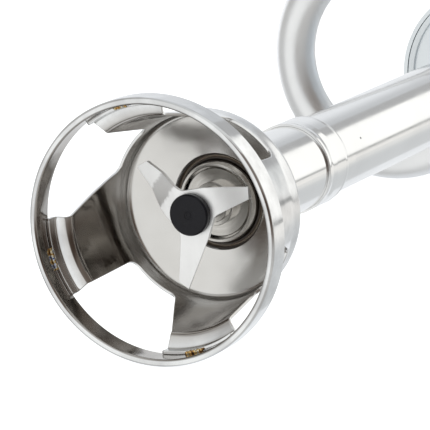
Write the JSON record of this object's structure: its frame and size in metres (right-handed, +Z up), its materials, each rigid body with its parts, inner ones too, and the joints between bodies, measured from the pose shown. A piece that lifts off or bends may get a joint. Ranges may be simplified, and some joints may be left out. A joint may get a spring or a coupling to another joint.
{
  "type": "immersion blender",
  "caption": "Commercial immersion blender: guarded blade in a legged bell, long steel shaft, bow side handle, motor housing and rear grip with trigger, lock and speed dial.",
  "frame": {"origin": "on the shaft axis, in the plane of the motor housing's front lip, where the tube leaves the housing", "axes": "+Y along the shaft from the blade bell towards the grip, +Z up from the surface that the blender lies on, +X to the side away from the bow handle"},
  "size_m": [0.1745, 0.7216, 0.1246],
  "materials": {
    "polished_steel": "mirror polished",
    "weld_metal": "heat tinted",
    "tube_steel": "fine satin",
    "bow_steel": "satin",
    "blade_steel": "ground",
    "turned_steel": "turned",
    "housing_steel": "satin",
    "shaft_steel": "ground",
    "screw_steel": "plated",
    "spring_steel": "drawn",
    "bearing_steel": "ground",
    "laminated_steel": "stacked sheets",
    "copper": "enamelled and bare copper",
    "cast_aluminium": "as cast",
    "brass": "drawn",
    "bush_bronze": "sintered",
    "carbon": "pressed carbon",
    "seal_rubber": "moulded",
    "black_nylon": "moulded",
    "grip_plastic": "fine texture",
    "button_red": "moulded",
    "switch_plastic": "moulded",
    "board_green": "coated board"
  },
  "bodies": {
    "housing": {"guard_ring": "polished_steel", "bell": "polished_steel", "ring_welds": "weld_metal", "neck_sleeve": "tube_steel", "neck_collar": "tube_steel", "outer_tube": "tube_steel", "lip_seal": "seal_rubber", "seal_carrier": "turned_steel", "shaft_seal": "seal_rubber", "shaft_bushes": "bush_bronze", "tube_seal": "seal_rubber", "tube_flange": "turned_steel", "flange_screws": "screw_steel", "front_plate": "housing_steel", "motor_housing": "housing_steel", "bow_handle": "bow_steel", "bow_collars": "bow_steel", "bearing_outer_rings": "bearing_steel", "bearing_balls": "bearing_steel", "front_bracket": "cast_aluminium", "rear_bracket": "cast_aluminium", "stator_core": "laminated_steel", "stator_coils": "copper", "brush_holders": "brass", "carbon_brushes": "carbon", "brush_springs": "spring_steel", "brush_caps": "black_nylon", "rear_cover": "housing_steel", "cover_screws": "screw_steel", "control_board": "board_green", "grip_left": "grip_plastic", "grip_right": "grip_plastic", "grip_screws": "screw_steel", "trigger_pin": "shaft_steel", "trigger_spring": "spring_steel", "lock_spring": "spring_steel", "switch_body": "switch_plastic", "cable_gland": "black_nylon", "hang_eye": "shaft_steel"},
    "drive_line": {"blade": "blade_steel", "blade_cap": "black_nylon", "blade_nut": "blade_steel", "blade_hub": "turned_steel", "drive_shaft": "shaft_steel", "coupling_lower": "black_nylon", "coupling_upper": "black_nylon", "motor_shaft": "shaft_steel", "bearing_inner_rings": "bearing_steel", "cooling_fan": "black_nylon", "rotor_core": "laminated_steel", "rotor_windings": "copper", "commutator": "copper"},
    "trigger": {"trigger": "grip_plastic"},
    "lock_button": {"lock_button": "button_red"},
    "speed_dial": {"speed_dial": "black_nylon", "dial_shaft": "shaft_steel"}
  },
  "joints": [
    {"name": "drive_spin", "type": "hinge", "parent": "housing", "child": "drive_line", "pos_m": [0, 0, 0], "axis": [0, 1, 0], "continuous": true},
    {"name": "trigger_pull", "type": "hinge", "parent": "housing", "child": "trigger", "pos_m": [0, 0.228, -0.015], "axis": [1, 0, 0], "range_deg": [0, 7], "stiffness_Nm_per_rad": 1.5, "springref_deg": -5.73, "deforming": ["trigger_spring"]},
    {"name": "lock_press", "type": "slide", "parent": "housing", "child": "lock_button", "axis": [0, 0, -1], "range_m": [0, 0.003], "stiffness_N_per_m": 500, "springref_m": -0.002, "deforming": ["lock_spring"]},
    {"name": "speed_turn", "type": "hinge", "parent": "housing", "child": "speed_dial", "pos_m": [0, 0.1955, 0.0425], "axis": [0, 0.7071, 0.7071], "range_deg": [0, 270]}
  ]
}
